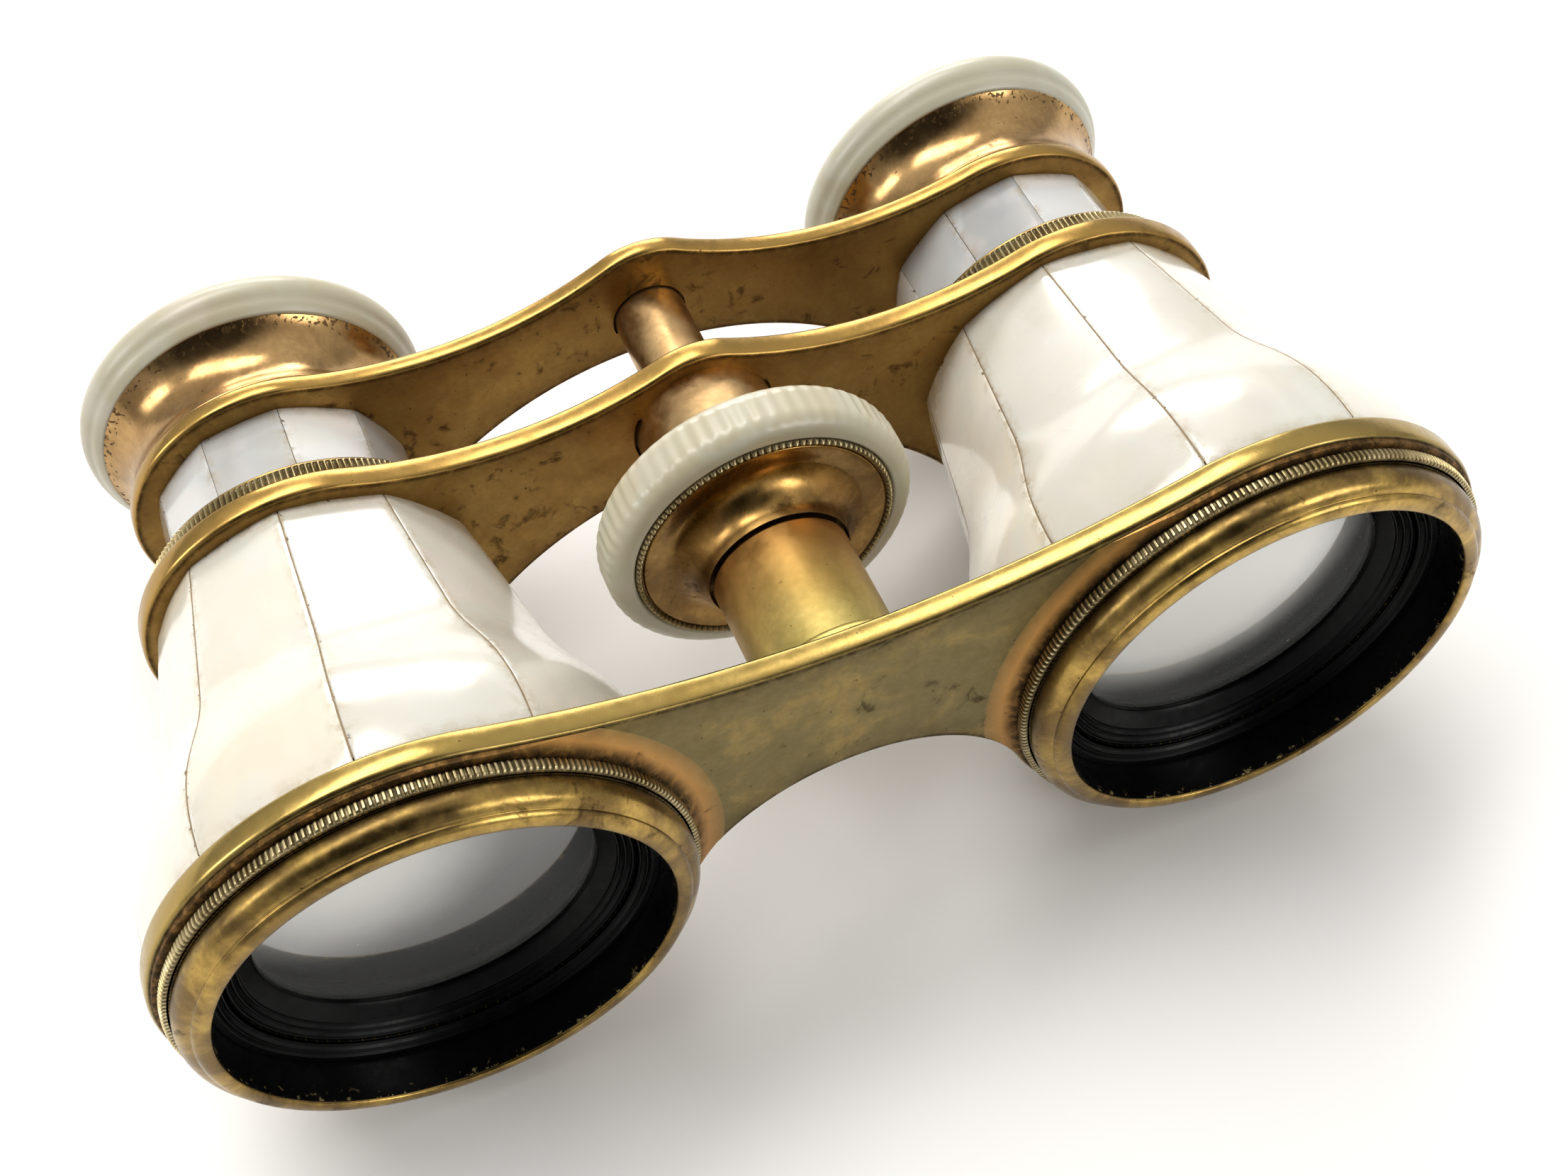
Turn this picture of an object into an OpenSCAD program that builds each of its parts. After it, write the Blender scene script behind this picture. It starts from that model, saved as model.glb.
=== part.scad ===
// Opera glasses: two bell barrels dressed in pearl staves, three bridge plates and
// a central focus wheel that screws the eyepiece frame in and out.
// X runs across the pair, +Y runs from the objectives to the eyecups, +Z is up.
// Lengths along Y are stated from the rear face of the front bridge and are moved
// to the middle of the object at the end.

/* [Barrels] */
// Half the distance between the two optical axes
axis_half = 31; // [29:0.5:33]
// Radius of the pearl where the bell meets the front bridge
bell_front_r = 18.5; // [18.4:0.1:18.8]
// Radius of the pearl where the bell meets the middle bridge
bell_back_r = 12.2; // [12:0.05:12.3]
// Thickness of the pearl staves
pearl_t = 1.1; // [1:0.05:1.2]
// Wall of the brass bell under the pearl
bell_wall = 0.5; // [0.4:0.05:0.6]
// Pearl staves round each barrel
staves = 10; // [10:1:10]
// Gap between two staves, as an angle
stave_gap = 0.35; // [0.2:0.05:0.6]
// How far behind the barrel axis a stave's face is struck from: flatter when larger
stave_flat = 40; // [15:5:60]

/* [Bridges] */
// Thickness of each bridge plate
plate_t = 1.95; // [1.8:0.05:2.1]
// Outer radius of the front bridge round an objective
front_r = 19.3; // [19.3:0.1:19.6]
// Outer radius of the middle bridge round a barrel
middle_r = 13.5; // [13.5:0.1:13.8]
// Outer radius of the rear bridge round a draw tube
rear_r = 11.7; // [11.5:0.1:12]
// Front face of the middle bridge
middle_y = 26.6; // [26.4:0.1:26.8]
// Front face of the rear bridge as it stands here
rear_y = 38.5; // [38:0.1:39]
// Height of the focusing axis over the barrel axes
focus_z = 7.3; // [7:0.1:7.4]

/* [Focusing] */
// Lead of the four-start focusing thread
lead = 8; // [8:1:8]
// Radius over the thread of the focusing screw
screw_r = 2.5; // [2.4:0.05:2.6]
// Radius of the smooth tube behind the screw
tube_r = 2.85; // [2.8:0.05:2.9]
// Radial running clearance of the smooth tube in the middle bridge
tube_fit = 0.07; // [0.04:0.01:0.1]
// Radius of the post that carries the wheel
post_r = 5.2; // [5:0.1:5.4]
// Length of that post
post_len = 11.4; // [11.2:0.1:11.5]
// Radius over the pearl rim of the wheel
wheel_r = 11.9; // [11.7:0.1:12]
// Radius of the sleeve behind the wheel
sleeve_r = 5.4; // [5.3:0.1:5.5]
// Scallops round the pearl rim
scallops = 48; // [36:6:60]

/* [Objectives] */
// Radius of the opening in the front lip
lip_r = 15.9; // [15.7:0.1:16]
// How far the bezel stands out in front of the bridge plate
bezel_len = 4.1; // [4:0.1:4.2]
// Radius over the milled ring
knurl_r = 18.65; // [18.4:0.05:18.8]
// Teeth round the milled ring
knurl_teeth = 120; // [60:10:160]
// Radius of the objective lenses
objective_r = 14.2; // [14:0.1:14.3]
// Clear radius inside the black retaining ring
clear_r = 12.1; // [11.8:0.1:12.4]

/* [Eyepieces] */
// Outer radius of the pearl on a draw tube
draw_r = 9.98; // [9.9:0.02:10]
// Radial running clearance of a draw tube in its collar
draw_fit = 0.08; // [0.04:0.01:0.1]
// Outer radius of the brass draw tube
draw_tube_r = 9.2; // [9.1:0.05:9.3]
// Radius over the milled collar
collar_r = 12.5; // [12.3:0.1:12.7]
// Teeth round the milled collar
collar_teeth = 100; // [60:10:120]
// Outer radius of a pearl eyecup
eyecup_r = 13.75; // [13.5:0.05:14]
// Radius of the eye lens
ocular_r = 6.5; // [6.3:0.1:6.7]

/* [Hidden] */
fine = 96;
sides = ["left", "right"];
seam_angle = [94.4, 104];          // where the first seam lies on each barrel
draw_seam_angle = [81.5, 88];      // and on each draw tube
stave_turn = 360 / staves;
front_y = -plate_t - bezel_len;    // plane of the two front lips
eyecup_back_y = 49.95;
mid_y = (front_y + eyecup_back_y) / 2;
middle_back_y = middle_y + plate_t;
rear_t = 1.6;
rear_back_y = rear_y + rear_t;
collar_back_y = middle_back_y + 2.2;
neck_r = 11;                       // threaded neck of the bell behind the middle bridge
spigot_r = 16.5;                   // part of the cell that enters the front bridge
run_gap = 0.05;                    // end play of the wheel on each side
wheel_face_y = 13.8;               // front edge of the wheel's beaded disc
wheel_back_y = 18.8;
nut_y = [post_len + 0.2, 15.8];    // the stretch where the nut and screw are in mesh
thread_gap = 0.12;                 // radial clearance between the two threads
screw_front_y = 7.8;
tube_front_y = 23;
counterbore = 0.4;                 // recess of the middle bridge that takes the sleeve
graze = 0.003;                     // how far a web's arcs cut into the discs they touch
front_h = [14.6, 1.3];             // top and lower edge of the front web in the middle
boss_r = 6.7;                      // rounded rise of the middle and rear bridges
lens_steps = 12;
cement = [48, 2, -1];              // surface where the crown and the flint meet

brass = "darkgoldenrod";
copper = "peru";
black = [0.08, 0.08, 0.08];
pearl = "ivory";
celadon = "honeydew";
glass = [0.7, 0.8, 0.85, 0.5];

// Centre of the circle of radius r that touches circles c1, r1 and c2, r2 from outside.
// side is 1 for the solution above the line from c1 to c2, and -1 for the one below.
function touch(c1, r1, c2, r2, r, side) =
    let (v = c2 - c1, d = norm(v), u = v / d, n = [-u[1], u[0]],
         x = (d * d + pow(r + r1, 2) - pow(r + r2, 2)) / (2 * d))
    c1 + x * u + side * sqrt(pow(r + r1, 2) - x * x) * n;

// Radius of the circle that touches two discs of radius r on the axes and crosses
// the middle plane at height h, from above (up = 1) or from below (up = -1).
function sweep_r(r, h, up) = (pow(axis_half, 2) + h * h - r * r) / (2 * (r - up * h));

// Point at t on a cubic curve through p with the four control points given
function bezier(p, t) =
    pow(1 - t, 3) * p[0] + 3 * t * pow(1 - t, 2) * p[1]
    + 3 * t * t * (1 - t) * p[2] + t * t * t * p[3];

// The bell's outline as [radius, y]: a full shoulder, an ogee and a straight cone
function bell_line(inset) =
    let (knee = [14.55, 14.5], slope = (knee[0] - bell_back_r) / (middle_y - knee[1]),
         p = [[bell_front_r, 1.5], [bell_front_r - 0.15, 8.5],
              [knee[0] + 4.5 * slope, knee[1] - 4.5], knee])
    concat([[bell_front_r - inset, 0]],
        [for (i = [0 : 10]) bezier(p, i / 10) - [inset, 0]],
        [[bell_back_r - inset, middle_y]]);

// Arc of a circle of radius r about c, from angle a to angle b, as n + 1 points
function arc(c, r, a, b, n) =
    [for (i = [0 : n]) c + r * [cos(a + (b - a) * i / n), sin(a + (b - a) * i / n)]];

// Turns a half outline given as [radius, y] about the y axis
module turned(fn = fine) {
    rotate([-90, 0, 0])
        rotate_extrude($fn = fn)
            children();
}

// Stands a flat outline given as [x, z] up as a slab from y to y + t
module slab(y, t) {
    translate([0, y + t, 0])
        rotate([90, 0, 0])
            linear_extrude(t)
                children();
}

module at_side(i) {
    translate([(2 * i - 1) * axis_half, -mid_y, 0])
        children();
}

module at_focus() {
    translate([0, -mid_y, focus_z])
        children();
}

// A ring of straight teeth, cut to depth d
module milled(r, d, teeth) {
    polygon([for (i = [0 : teeth - 1]) for (e = [[0, r], [0.45, r], [0.6, r - d], [0.9, r - d]])
        e[1] * [cos((i + e[0]) * 360 / teeth), sin((i + e[0]) * 360 / teeth)]]);
}

// A disc whose edge runs in soft scallops of depth d
module scalloped(r, d, count) {
    polygon([for (i = [0 : 4 * count - 1])
        (r - d / 2 + d / 2 * cos(i * 90)) * [cos(i * 90 / count), sin(i * 90 / count)]]);
}

// Outline of a bridge: two discs, a web that sweeps into them on tangent arcs, and a
// rounded rise in the middle of the top edge when rise is true. d insets all of it.
module bridge_outline(r, top_h, low_h, rise, d) {
    discs = [[-axis_half, 0], [axis_half, 0]];
    boss = [0, focus_z];
    low_r = sweep_r(r, low_h, -1);
    low_c = [0, low_h - low_r];
    top_r = rise ? 32 : sweep_r(r, top_h, 1);
    top_c = rise
        ? [for (i = [0, 1]) touch(boss, boss_r, discs[i], r, top_r, i == 0 ? -1 : 1)]
        : [[0, top_h + top_r]];
    web = concat([discs[0], top_c[0]], rise ? [boss, top_c[1]] : [], [discs[1], low_c]);
    difference() {
        union() {
            polygon(web);
            for (c = discs)
                translate(c) circle(r - d, $fn = fine);
            if (rise)
                translate(boss) circle(boss_r - d, $fn = fine);
        }
        for (c = top_c)
            translate(c) circle(top_r + d + graze, $fn = fine);
        translate(low_c) circle(low_r + d + graze, $fn = fine);
    }
}

// A flat bridge plate with eased edges
module bridge_plate(y, t, r, top_h, low_h, rise) {
    edge = 0.3;
    slab(y + edge, t - 2 * edge) bridge_outline(r, top_h, low_h, rise, 0);
    slab(y, t) bridge_outline(r, top_h, low_h, rise, edge);
}

module bore(y, len, r) {
    turned() translate([0, y]) square([r, len]);
}

// The front bridge's web swells into a low boss round each objective cell
module front_bridge() {
    boss_y = -2.4;
    boss_in = 18.9;
    boss_out = 20.2;
    color(brass)
    difference() {
        union() {
            translate([0, -mid_y, 0])
                bridge_plate(-plate_t, plate_t, front_r, front_h[0], front_h[1], false);
            for (i = [0, 1])
                at_side(i)
                intersection() {
                    turned() polygon([[0, boss_y], [boss_in, boss_y], [19.4, boss_y + 0.3],
                        [boss_out, boss_y + 0.8], [boss_out, -0.5], [0, -0.5]]);
                    translate([(1 - 2 * i) * axis_half, 0, 0])
                        slab(-3, 3) bridge_outline(front_r, front_h[0], front_h[1], false, 0.5);
                }
        }
        for (i = [0, 1])
            at_side(i) bore(-3, 4, spigot_r);
    }
}

module middle_bridge() {
    color(brass)
    difference() {
        translate([0, -mid_y, 0])
            bridge_plate(middle_y, plate_t, middle_r, 0, 2, true);
        for (i = [0, 1])
            at_side(i) bore(middle_y - 1, 5, neck_r);
        at_focus() bore(middle_y - 1, 5, tube_r + tube_fit);
        at_focus() bore(middle_y - 1, 1 + counterbore, sleeve_r + 0.25);
    }
}

module rear_bridge() {
    color(brass)
    difference() {
        translate([0, -mid_y, 0])
            bridge_plate(rear_y, rear_t, rear_r, 0, 3.7, true);
        for (i = [0, 1])
            at_side(i) bore(rear_y - 1, 5, draw_tube_r);
        at_focus() bore(rear_y - 1, 5, 1.6);
    }
}

// Brass bell under the pearl, with a threaded neck through the middle bridge
module barrel_tube(i) {
    line = bell_line(pearl_t);
    inner = bell_line(pearl_t + bell_wall);
    neck_y = middle_y;
    last = len(line) - 1;
    inner_front = [for (k = [0 : last - 1]) inner[last - 1 - k]];
    color(brass)
    at_side(i)
        turned() polygon(concat(line,
            [[neck_r, neck_y], [neck_r, collar_back_y - 0.6],
             [draw_r + 0.2, collar_back_y - 0.6], [draw_r + 0.2, middle_y - 1.5],
             [inner[last][0], middle_y - 2.5]],
            inner_front));
}

// One pearl stave: a piece of the bell with a flatter face than the bell itself
module stave(i, k) {
    middle = seam_angle[i] + (k + 0.5) * stave_turn;
    half = stave_turn / 2 - stave_gap / 2;
    reach = 30;
    outer = bell_line(-stave_flat);
    last = len(outer) - 1;
    end_y = middle_y;
    color(pearl)
    at_side(i)
    rotate([0, -middle, 0])
    difference() {
        intersection() {
            translate([-stave_flat, 0, 0])
                turned(360) polygon(concat([[0, 0]], outer, [[0, end_y]]));
            slab(-1, end_y + 2)
                polygon([[0, 0], reach * [cos(half), -sin(half)], reach * [cos(half), sin(half)]]);
        }
        turned() polygon(concat([[0, -2], [bell_front_r - pearl_t, -2]], bell_line(pearl_t),
            [[bell_back_r - pearl_t, end_y + 2], [0, end_y + 2]]));
    }
}

// Milled collar that clamps the middle bridge to the bell and guides the draw tube
module collar(i) {
    lip_y = collar_back_y - 0.6;
    color(brass)
    at_side(i)
    difference() {
        union() {
            slab(middle_back_y + 0.35, 1.45) milled(collar_r, 0.22, collar_teeth);
            turned() polygon([[0, middle_back_y], [collar_r - 0.25, middle_back_y],
                [collar_r - 0.25, lip_y + 0.2], [collar_r - 0.6, collar_back_y],
                [0, collar_back_y]]);
        }
        bore(middle_back_y - 1, lip_y - middle_back_y + 1, neck_r);
        bore(middle_back_y - 1, 5, draw_r + draw_fit);
    }
}

// Cell of an objective: bezel, milled ring, threaded spigot and lens seat
module objective_cell(i) {
    back_y = 6.2;
    ovolo = [17.1, front_y + 1.75];
    color(brass)
    at_side(i)
    difference() {
        union() {
            slab(-3.4, 0.9) milled(knurl_r, 0.25, knurl_teeth);
            turned() polygon(concat(
                [[0, front_y], [16.5, front_y]],
                arc([16.5, front_y + 0.55], 0.55, -90, 30, 4),
                [[16.95, front_y + 1]],
                arc(ovolo, 0.9, -50, 60, 5),
                [[17.75, -3.4], [18.3, -3.4], [18.3, -2.5], [17.9, -2.5], [17.9, -2.4],
                 [spigot_r, -2.4], [spigot_r, 2.5], [15.3, 2.5], [15.3, back_y], [0, back_y]]));
        }
        bore(front_y - 1, 1 - front_y - 2, lip_r);
        bore(front_y, 5.4 - front_y, objective_r + 0.1);
        bore(0, back_y + 1, 13);
    }
}

// A lens turned from two surfaces, each [curve, y at its edge, way its centre lies]. A
// surface of curve c is struck from a centre on the axis and passes through the edge.
module lens(r, front, back) {
    color(glass)
        turned() polygon(concat(
            [for (k = [lens_steps : -1 : 0]) lens_point(r * k / lens_steps, r, back)],
            [for (k = [0 : lens_steps]) lens_point(r * k / lens_steps, r, front)]));
}

function lens_point(x, r, face) =
    [x, face[1] + face[2] * (sqrt(pow(face[0], 2) - r * r) - sqrt(pow(face[0], 2) - x * x))];

module objective_crown(i) {
    at_side(i) lens(objective_r, [60, 0.6, 1], cement);
}

module objective_flint(i) {
    at_side(i) lens(objective_r, cement, [400, 5.35, 1]);
}

// Black threaded ring that holds the objective in its cell
module objective_retainer(i) {
    color(black)
    at_side(i)
        turned() polygon([[lip_r - 0.05, -2.6], [lip_r - 0.05, -2], [objective_r + 0.1, -2],
            [objective_r + 0.1, 0.1], [clear_r, 0.1], [clear_r, -0.25], [15.2, -2.6]]);
}

// Post on the front bridge, with a small foot, bored for the focusing screw
module front_post() {
    color(brass)
    at_focus()
        turned() polygon([[3.1, 0], [6.2, 0], [6.2, 0.5], [5.9, 0.8],
            [post_r, 0.8], [post_r, post_len - 0.2], [post_r - 0.2, post_len], [3.1, post_len]]);
}

// Dished hub with a beaded edge in front and a drum that carries the pearl rim
module wheel_hub() {
    face_r = 10;
    drum_r = 8.6;
    color(copper)
    at_focus()
        turned() polygon(concat(
            [[3.8, post_len + run_gap], [post_r, post_len + run_gap]],
            arc([7.8, post_len + 0.3], 2.6, 180, 100, 6),
            [[face_r - 0.5, wheel_face_y + 0.35], [face_r - 0.25, wheel_face_y],
             [face_r, wheel_face_y + 0.25], [face_r, wheel_face_y + 0.8],
             [drum_r, wheel_face_y + 0.8], [drum_r, wheel_back_y], [3.8, wheel_back_y]]));
}

module wheel_rim() {
    color(celadon)
    at_focus()
    difference() {
        intersection() {
            slab(wheel_face_y, 5) scalloped(wheel_r, 0.14, scallops);
            turned() polygon(concat(
                [[0, wheel_face_y + 0.3], [10.15, wheel_face_y + 0.3]],
                arc([10.5, wheel_face_y + 1.9], 1.4, -75, 0, 4),
                arc([10.5, wheel_back_y - 1.7], 1.4, 0, 75, 4),
                [[0, wheel_back_y - 0.2]]));
        }
        bore(wheel_face_y, 6, 8.6);
        bore(wheel_face_y, 0.8, 10);
    }
}

// Sleeve behind the wheel, turning with it in a recess of the middle bridge
module wheel_sleeve() {
    back_y = middle_y + counterbore - run_gap;
    color(copper)
    at_focus()
        turned() polygon([[3.1, wheel_back_y], [9.6, wheel_back_y], [9.6, wheel_back_y + 0.4],
            [sleeve_r + 0.3, wheel_back_y + 0.7], [sleeve_r, wheel_back_y + 1.1],
            [sleeve_r, back_y], [3.1, back_y]]);
}

// Section of the four-start thread; grow widens it for the nut
module thread_section(grow) {
    root_r = screw_r - 0.35 + grow;
    polygon([for (i = [0 : 3]) for (e = [[-30, 0], [-14, 1], [0, 1], [14, 1], [30, 0]])
        (root_r + 0.35 * e[1]) * [cos(90 * i + e[0]), sin(90 * i + e[0])]]);
}

// Both threads start from the same plane, so that they are in mesh
module thread(y0, y1, grow) {
    translate([0, y0, 0])
        rotate([-90, 0, 0])
            rotate(-360 * y0 / lead)
                linear_extrude(y1 - y0, twist = 360 * (y1 - y0) / lead,
                        slices = round((y1 - y0) * 360 / lead / 9))
                    thread_section(grow);
}

module focus_nut() {
    color(brass)
    at_focus()
    difference() {
        bore(nut_y[0], nut_y[1] - nut_y[0], 3.8);
        thread(nut_y[0] - 0.5, nut_y[1] + 0.5, thread_gap);
    }
}

module focus_screw() {
    color(copper)
    at_focus()
        thread(screw_front_y, tube_front_y, 0);
}

module inner_tube() {
    seat_y = rear_y;
    color(copper)
    at_focus()
        turned() polygon([[0, tube_front_y], [tube_r - 0.2, tube_front_y],
            [tube_r, tube_front_y + 0.2], [tube_r, seat_y], [1.6, seat_y], [1.6, 33], [0, 33]]);
}

// Slotted screw that holds the rear bridge to the inner tube
module bridge_screw() {
    head_y = rear_back_y;
    color(brass)
    at_focus()
    difference() {
        turned() polygon([[0, 33.4], [1.6, 33.4], [1.6, head_y], [3.6, head_y],
            [3.6, head_y + 0.8], [3.1, head_y + 1.3], [0, head_y + 1.3]]);
        translate([-4, head_y + 0.7, -0.35]) cube([8, 1, 0.7]);
    }
}

module draw_tube(i) {
    wall = 0.6;
    color(brass)
    at_side(i)
        turned() polygon([[draw_tube_r - wall, 17], [draw_tube_r, 17],
            [draw_tube_r, 43], [draw_tube_r - wall, 43]]);
}

// Pearl staves of a draw tube
module draw_pearl(i) {
    front = 20;
    back = rear_y;
    color(pearl)
    at_side(i)
    for (k = [0 : staves - 1])
        rotate([0, -draw_seam_angle[i] - (k + 0.5) * stave_turn, 0])
            intersection() {
                turned() translate([draw_tube_r, front])
                    square([draw_r - draw_tube_r, back - front]);
                slab(front - 1, back - front + 2)
                    polygon([[0, 0], 12 * [cos(stave_turn / 2 - 0.3), -sin(stave_turn / 2 - 0.3)],
                        12 * [cos(stave_turn / 2 - 0.3), sin(stave_turn / 2 - 0.3)]]);
            }
}

// Turned trumpet that joins a draw tube to its eyecup and holds the eye lens
module eyecup_mount(i) {
    seat_r = ocular_r + 0.1;
    color(copper)
    at_side(i)
        turned() polygon(concat(
            [[draw_tube_r, rear_back_y], [11.4, rear_back_y], [11.4, rear_back_y + 0.4],
             [10.9, rear_back_y + 0.7]],
            arc([15.5, 42.4], 4.8, 195, 130, 7),
            [[12.35, 46.1], [7.4, 46.1], [7.4, 48.3], [7, 48.5], [seat_r, 48.5],
             [seat_r, 44], [5.6, 44], [5.6, 43.2], [8, 43], [draw_tube_r, 43]]));
}

// Pearl eyecup with a rolled rim and a shallow dish for the eye
module eyecup(i) {
    color(celadon)
    at_side(i)
        turned() polygon(concat(
            [[7.4, 46.1], [12.3, 46.1], [12.9, 46.7]],
            arc([eyecup_r - 1.6, eyecup_back_y - 1.6], 1.6, -50, 110, 8),
            arc([7.2, eyecup_back_y + 10], 11.4, 292, 272, 4),
            [[7.4, 48.5]]));
}

module ocular_lens(i) {
    at_side(i) lens(ocular_r, [24, 44, -1], [24, 46, 1]);
}

module ocular_retainer(i) {
    color(black)
    at_side(i)
        turned() polygon([[5.4, 46.05], [ocular_r + 0.1, 46.05], [ocular_r + 0.1, 46.9], [6, 46.9]]);
}

front_bridge();
middle_bridge();
rear_bridge();
front_post();
wheel_hub();
wheel_sleeve();
wheel_rim();
focus_nut();
inner_tube();
focus_screw();
bridge_screw();
for (i = [0, 1]) {
    barrel_tube(i);
    collar(i);
    objective_cell(i);
    objective_crown(i);
    objective_flint(i);
    objective_retainer(i);
    draw_tube(i);
    draw_pearl(i);
    eyecup_mount(i);
    eyecup(i);
    ocular_lens(i);
    ocular_retainer(i);
    for (k = [1 : staves])
        stave(i, k);
}
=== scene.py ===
"""The looks of a pair of opera glasses: pearl staves, brass bridges, lenses and a focus wheel,
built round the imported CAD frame. Shapes are worked out in millimetres, with y counted from the
rear face of the front bridge as in the CAD source, and become metres when a piece is made."""

import math

import bmesh
import bpy
import numpy as np
from mathutils import Matrix, Vector
from mathutils.geometry import delaunay_2d_cdt


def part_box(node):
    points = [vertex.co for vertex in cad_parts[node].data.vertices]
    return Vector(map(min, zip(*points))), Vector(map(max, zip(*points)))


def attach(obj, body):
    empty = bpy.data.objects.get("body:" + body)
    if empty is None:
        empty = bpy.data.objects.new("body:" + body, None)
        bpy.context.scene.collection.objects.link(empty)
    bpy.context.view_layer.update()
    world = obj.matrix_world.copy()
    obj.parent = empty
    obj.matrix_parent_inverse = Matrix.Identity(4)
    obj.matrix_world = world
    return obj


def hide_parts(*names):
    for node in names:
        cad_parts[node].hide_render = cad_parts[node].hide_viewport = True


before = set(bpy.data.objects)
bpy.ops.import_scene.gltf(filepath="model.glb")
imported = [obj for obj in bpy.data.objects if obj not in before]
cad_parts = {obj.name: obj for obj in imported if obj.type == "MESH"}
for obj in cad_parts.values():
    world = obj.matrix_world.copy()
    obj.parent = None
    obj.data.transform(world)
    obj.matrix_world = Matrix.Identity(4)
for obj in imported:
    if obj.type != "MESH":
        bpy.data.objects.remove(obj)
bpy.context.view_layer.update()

MM = 0.001
SIDES = ("left", "right")

# ---------------------------------------------------------------- dimensions, from the frame


def low(node):
    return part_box(node)[0] / MM


def high(node):
    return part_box(node)[1] / MM


def middle(node):
    return (low(node) + high(node)) / 2


DATUM = low("barrel_tube_left").y       # y of the front bridge's rear face in the frame
AXIS = middle("barrel_tube_right").x    # half the distance between the optical axes
FOCUS_Z = middle("wheel_hub").z
FOCUS = (0.0, FOCUS_Z)


def from_datum(y):
    return y - DATUM


FRONT_Y = from_datum(low("objective_cell_left").y)
PLATE = (from_datum(low("front_bridge").y) + 0.45, 0.0)
MIDDLE = (from_datum(low("middle_bridge").y), from_datum(high("middle_bridge").y))
REAR = (from_datum(low("rear_bridge").y), from_datum(high("rear_bridge").y))
FRONT_R = high("front_bridge").z
MIDDLE_R = high("middle_bridge").x - AXIS
REAR_R = high("rear_bridge").x - AXIS
COLLAR_BACK = from_datum(high("collar_left").y)
COLLAR_R = high("collar_left").z
EYECUP_R = high("eyecup_left").z
EYECUP_BACK = from_datum(high("eyecup_left").y)
EYECUP_ROLL = 1.6                       # radius of the eyecup's rounded edge
WHEEL_R = high("wheel_rim").z - FOCUS_Z
WHEEL = (from_datum(low("wheel_rim").y) - 0.3, from_datum(high("wheel_hub").y))
SLEEVE_BACK = from_datum(high("wheel_sleeve").y)
POST_LEN = from_datum(high("front_post").y)
TUBE_R = (high("inner_tube") - low("inner_tube")).x / 2
PEARL = 1.1                             # thickness of a barrel's staves
STAVES = 10
TURN = 360 / STAVES
FACE = 13.0                             # how far behind the axis a stave's face is struck from
SEAM = {"left": 94.4, "right": 104.0}   # where the first seam lies, from +X towards +Z
DRAW_SEAM = {"left": 81.5, "right": 88.0}
LEAF_SHARP = 50                         # pearl edges flatter than this many degrees look smooth


def axis_of(side):
    return (-AXIS if side == "left" else AXIS, 0.0)


# ---------------------------------------------------------------- mesh building


class Build:
    """Collects vertices in millimetres from the datum, and faces, for one piece. kind is a face's
    material number, and marks are point attributes, which are 0 wherever they aren't given."""

    def __init__(self):
        self.points = []
        self.faces = []
        self.kinds = []
        self.marks = {}
        self.count = 0

    def add(self, points, faces, kind=0, **marks):
        points = np.asarray(points, float).reshape(-1, 3)
        self.faces += [tuple(i + self.count for i in f) for f in faces]
        self.kinds += [kind] * len(faces) if isinstance(kind, int) else list(kind)
        for name, values in marks.items():
            self.marks.setdefault(name, []).append((self.count, len(points), values))
        self.points.append(points)
        self.count += len(points)

    def piece(self, name, materials, body, nodes, sharp=34):
        points = np.vstack(self.points) * MM
        points[:, 1] += DATUM * MM
        mesh = bpy.data.meshes.new(name)
        mesh.from_pydata(points.tolist(), [], self.faces)
        mesh.polygons.foreach_set("material_index", self.kinds)
        for mark, parts in self.marks.items():
            whole = np.zeros(self.count)
            for start, length, values in parts:
                whole[start:start + length] = values
            mesh.attributes.new(mark, "FLOAT", "POINT").data.foreach_set("value", whole)
        tidy = bmesh.new()
        tidy.from_mesh(mesh)
        bmesh.ops.remove_doubles(tidy, verts=tidy.verts, dist=1e-7)
        bmesh.ops.recalc_face_normals(tidy, faces=tidy.faces)
        tidy.to_mesh(mesh)
        tidy.free()
        mesh.shade_smooth()
        mesh.set_sharp_from_angle(angle=math.radians(sharp))
        for material in materials:
            mesh.materials.append(material)
        made = bpy.data.objects.new(name, mesh)
        bpy.context.scene.collection.objects.link(made)
        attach(made, body)
        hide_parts(*nodes)
        return made


def grid_faces(rows, columns, closed_rows=False, closed_columns=True):
    """Quads of a grid of rows x columns vertices, wrapped round where it is closed."""
    last_row = rows if closed_rows else rows - 1
    last_column = columns if closed_columns else columns - 1
    faces = []
    for i in range(last_row):
        a = i * columns
        b = (i + 1) % rows * columns
        for k in range(last_column):
            n = (k + 1) % columns
            faces.append((a + k, a + n, b + n, b + k))
    return faces


def arc(centre, radius, start, end, steps):
    """Points of an arc, each marked to be left as sharp as it is by rounded()."""
    turn = [math.radians(start + (end - start) * i / steps) for i in range(steps + 1)]
    return [(centre[0] + radius * math.cos(a), centre[1] + radius * math.sin(a), 0) for a in turn]


def rounded(outline, size=0.12, steps=3):
    """A closed outline with its corners eased. A point may carry its own size as a third value."""
    made = []
    for i, point in enumerate(outline):
        here = np.array(point[:2], float)
        ease = point[2] if len(point) > 2 else size
        if ease == 0:
            made.append(here)
            continue
        ends = []
        for other in (outline[i - 1], outline[(i + 1) % len(outline)]):
            way = np.array(other[:2], float) - here
            ends.append(here + way * min(ease / np.linalg.norm(way), 0.45))
        for k in range(steps + 1):
            t = k / steps
            made.append((1 - t) ** 2 * ends[0] + 2 * t * (1 - t) * here + t * t * ends[1])
    return np.array(made)


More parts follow.
